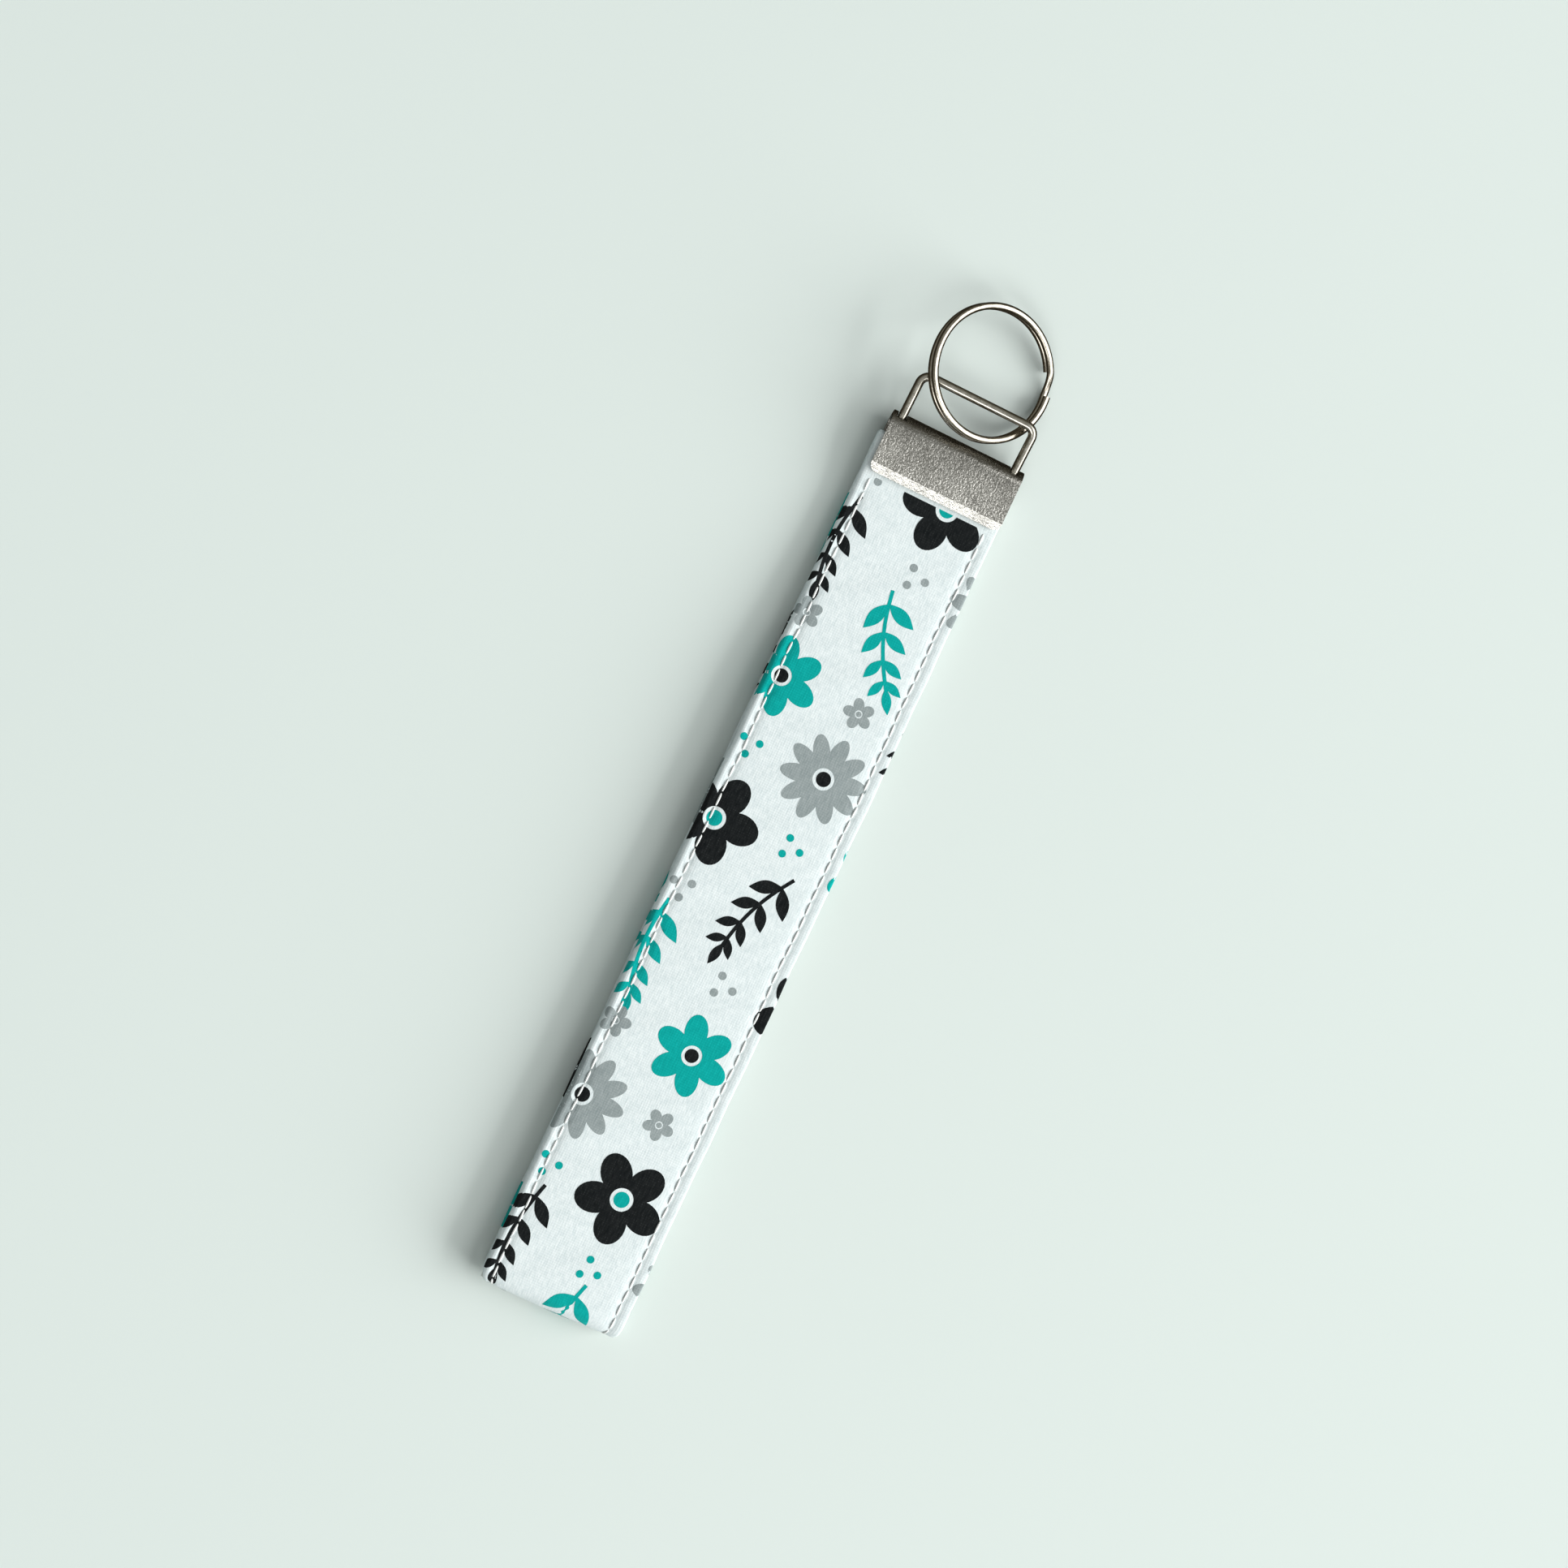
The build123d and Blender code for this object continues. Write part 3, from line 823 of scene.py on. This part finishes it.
def make_world():
    """A pale room. Its reflections darken towards the horizon, which gives metal its dark rims."""
    world = bpy.data.worlds.new("pale_room")
    bpy.context.scene.world = world
    world.use_nodes = True
    tree = world.node_tree
    background = tree.nodes["Background"]
    background.inputs["Color"].default_value = (0.80, 0.87, 0.85, 1)
    background.inputs["Strength"].default_value = 0.18
    seen = tree.nodes.new("ShaderNodeBackground")
    seen.inputs["Color"].default_value = (0.77, 0.85, 0.82, 1)
    mirrored = tree.nodes.new("ShaderNodeBackground")
    coordinates = tree.nodes.new("ShaderNodeTexCoord")
    split = tree.nodes.new("ShaderNodeSeparateXYZ")
    ramp = tree.nodes.new("ShaderNodeValToRGB")
    ramp.color_ramp.elements[0].position = 0.05
    ramp.color_ramp.elements[0].color = (0.035, 0.030, 0.020, 1)
    ramp.color_ramp.elements[1].position = 0.95
    ramp.color_ramp.elements[1].color = (0.30, 0.30, 0.28, 1)
    middle = ramp.color_ramp.elements.new(0.60)
    middle.color = (0.16, 0.15, 0.12, 1)
    tree.links.new(coordinates.outputs["Generated"], split.inputs["Vector"])
    tree.links.new(split.outputs["Z"], ramp.inputs["Fac"])
    tree.links.new(ramp.outputs["Color"], mirrored.inputs["Color"])
    path = tree.nodes.new("ShaderNodeLightPath")
    mix = tree.nodes.new("ShaderNodeMixShader")
    tree.links.new(path.outputs["Is Glossy Ray"], mix.inputs["Fac"])
    tree.links.new(background.outputs["Background"], mix.inputs[1])
    tree.links.new(mirrored.outputs["Background"], mix.inputs[2])
    pick = tree.nodes.new("ShaderNodeMixShader")
    tree.links.new(path.outputs["Is Camera Ray"], pick.inputs["Fac"])
    tree.links.new(mix.outputs["Shader"], pick.inputs[1])
    tree.links.new(seen.outputs["Background"], pick.inputs[2])
    tree.links.new(pick.outputs["Shader"], tree.nodes["World Output"].inputs["Surface"])


# ---- The scene -----------------------------------------------------------------------------------------
make_camera()
bpy.context.scene.view_settings.view_transform = "Standard"

cotton = make_cotton()
finish_with(cotton, woven("cotton_white", (0.72, 0.81, 0.825), (0.88, 0.95, 0.96)))
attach(cotton, "strap")
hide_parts("cotton_strip")
cotton.visible_diffuse = False  # keeps bounced light off the floor beside the strap

INKS = {
    "black": woven("ink_black", (0.004, 0.006, 0.007), (0.012, 0.014, 0.015), worn=(0.07, 0.08, 0.08)),
    "teal": woven("ink_teal", (0.0, 0.36, 0.335), (0.0, 0.43, 0.40), worn=(0.02, 0.54, 0.50)),
    "grey": woven("ink_grey", (0.28, 0.33, 0.335), (0.36, 0.41, 0.415), worn=(0.55, 0.60, 0.60)),
}
ink_pieces = make_print()
for ink, piece in ink_pieces.items():
    finish_with(piece, INKS[ink])
    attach(piece, "strap")

thread = sewing_thread()
for number, (side, row_x) in enumerate((("left", -ROW_X), ("right", ROW_X))):
    for face, inner_face in (("needle", False), ("bobbin", True)):
        row = make_stitches(f"{face}_stitches_{side}", row_x, inner_face, 20 + number + 5 * inner_face)
        finish_with(row, thread)
        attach(row, "strap")
        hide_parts(f"{face}_thread_{side}")

finish_with(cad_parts["interfacing_strip"], interfacing())
finish_with(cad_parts["clamp"], satin_nickel())
bail_finish = bright_nickel("nickel_bail", (0.56, 0.54, 0.47), (0.74, 0.72, 0.65), 0.13)
finish_with(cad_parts["bail"], bail_finish)
ring_finish = bright_nickel("nickel_ring", (0.50, 0.46, 0.39), (0.70, 0.66, 0.58), 0.10)
finish_with(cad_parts["split_ring"], ring_finish)
soften_edges(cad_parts["clamp"], 0.16)

make_floor()
make_world()
softbox("side", azimuth=5, elevation=21, half_across=27, half_up=16, radiance=7.6, mirrored=False)
softbox("key", azimuth=5, elevation=49, half_across=24, half_up=17, radiance=2.5)
softbox("front", azimuth=-88, elevation=52, half_across=18, half_up=12, radiance=2.4)
